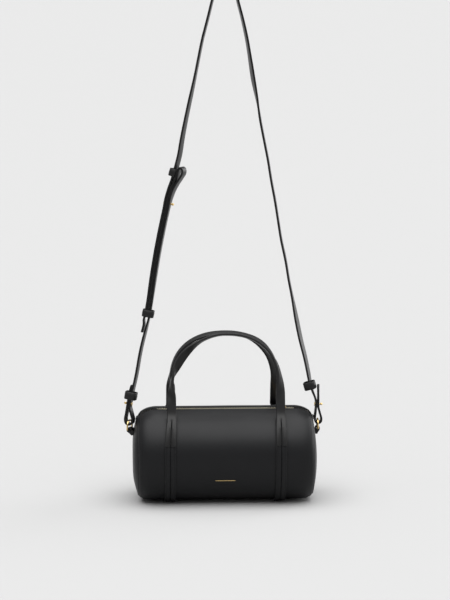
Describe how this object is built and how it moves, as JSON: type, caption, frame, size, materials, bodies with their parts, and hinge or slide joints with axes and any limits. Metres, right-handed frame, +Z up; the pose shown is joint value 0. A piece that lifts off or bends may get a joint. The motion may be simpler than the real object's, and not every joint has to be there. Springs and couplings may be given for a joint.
{
  "type": "travel bag",
  "caption": "Small black barrel bag with zipped top, arched handles and a long adjustable shoulder strap held by stud fastenings.",
  "frame": {"origin": "on the floor under the middle of the barrel, which is also the middle of the bounding box", "axes": "+X along the barrel, +Y to the back, +Z up along the hanging shoulder strap"},
  "size_m": [0.259, 0.1269, 0.6911],
  "materials": {
    "black_leather": "fine grain, semi-matt",
    "lining_fabric": "plain weave",
    "zip_tape": "woven tape",
    "fibre_board": "matt",
    "gold_metal": "polished gold plate"
  },
  "bodies": {
    "bag": {"main_panel": "black_leather", "end_panel_left": "black_leather", "end_panel_right": "black_leather", "end_stiffener_left": "fibre_board", "end_stiffener_right": "fibre_board", "lining_main": "lining_fabric", "lining_end_left": "lining_fabric", "lining_end_right": "lining_fabric", "base_board": "fibre_board", "inner_pocket": "lining_fabric", "zip_tape_front": "zip_tape", "zip_tape_rear": "zip_tape", "zip_teeth_front": "gold_metal", "zip_teeth_rear": "gold_metal", "zip_stop_left": "gold_metal", "zip_stop_right": "gold_metal", "zip_end_tab_left": "black_leather", "zip_end_tab_right": "black_leather", "wrap_strap_left": "black_leather", "wrap_strap_right": "black_leather", "handle_front_end_left": "black_leather", "handle_front_end_right": "black_leather", "handle_rear_end_left": "black_leather", "handle_rear_end_right": "black_leather", "ring_tab_left": "black_leather", "ring_tab_right": "black_leather"},
    "slider": {"zip_slider": "gold_metal"},
    "pull": {"zip_pull": "gold_metal"},
    "front_handle": {"handle_front": "black_leather", "handle_front_filler": "fibre_board"},
    "rear_handle": {"handle_rear": "black_leather", "handle_rear_filler": "fibre_board"},
    "left_ring": {"d_ring_left": "gold_metal"},
    "right_ring": {"d_ring_right": "gold_metal"},
    "strap": {"strap_long": "black_leather", "strap_short": "black_leather", "stud_head_left": "gold_metal", "stud_base_left": "gold_metal", "stud_head_right": "gold_metal", "stud_base_right": "gold_metal", "stud_head_adjuster": "gold_metal", "stud_base_adjuster": "gold_metal"},
    "left_keeper": {"keeper_left": "black_leather"},
    "low_keeper": {"keeper_low": "black_leather"},
    "upper_keeper": {"keeper_upper": "black_leather"},
    "right_keeper": {"keeper_right": "black_leather"}
  },
  "joints": [
    {"name": "strap_swing", "type": "hinge", "parent": "bag", "child": "strap", "pos_m": [0, -0.00342, 0.09778], "axis": [1, 0, 0], "range_deg": [-20, 20]},
    {"name": "zip_slide", "type": "slide", "parent": "bag", "child": "slider", "axis": [1, 0, 0], "range_m": [-0.1525, 0.0055]},
    {"name": "zip_pull_turn", "type": "hinge", "parent": "slider", "child": "pull", "pos_m": [0.0735, -0.00662, 0.12374], "axis": [1, 0, 0], "range_deg": [0, 150]},
    {"name": "handle_front_fold", "type": "hinge", "parent": "bag", "child": "front_handle", "pos_m": [0, -0.03968, 0.11539], "axis": [1, 0, 0], "range_deg": [0, 110]},
    {"name": "handle_rear_fold", "type": "hinge", "parent": "bag", "child": "rear_handle", "pos_m": [0, 0.02746, 0.12245], "axis": [1, 0, 0], "range_deg": [-110, 0]},
    {"name": "ring_left_tilt", "type": "hinge", "parent": "bag", "child": "left_ring", "pos_m": [-0.12366, -0.00342, 0.09328], "axis": [0.4226, 0.9063, 0], "range_deg": [-3, 3]},
    {"name": "ring_right_tilt", "type": "hinge", "parent": "bag", "child": "right_ring", "pos_m": [0.12004, -0.00342, 0.09328], "axis": [0, 1, 0], "range_deg": [-3, 3]},
    {"name": "keeper_left_slide", "type": "slide", "parent": "strap", "child": "left_keeper", "axis": [0.1789, 0.002, 0.9839], "range_m": [-0.002, 0.005]},
    {"name": "keeper_low_slide", "type": "slide", "parent": "strap", "child": "low_keeper", "axis": [0.1701, 0.0017, 0.9854], "range_m": [-0.003, 0.005]},
    {"name": "keeper_upper_slide", "type": "slide", "parent": "strap", "child": "upper_keeper", "axis": [0.2862, -0.0119, 0.9581], "range_m": [0, 0.006]},
    {"name": "keeper_right_slide", "type": "slide", "parent": "strap", "child": "right_keeper", "axis": [-0.272, 0.0019, 0.9623], "range_m": [-0.002, 0.004]}
  ]
}
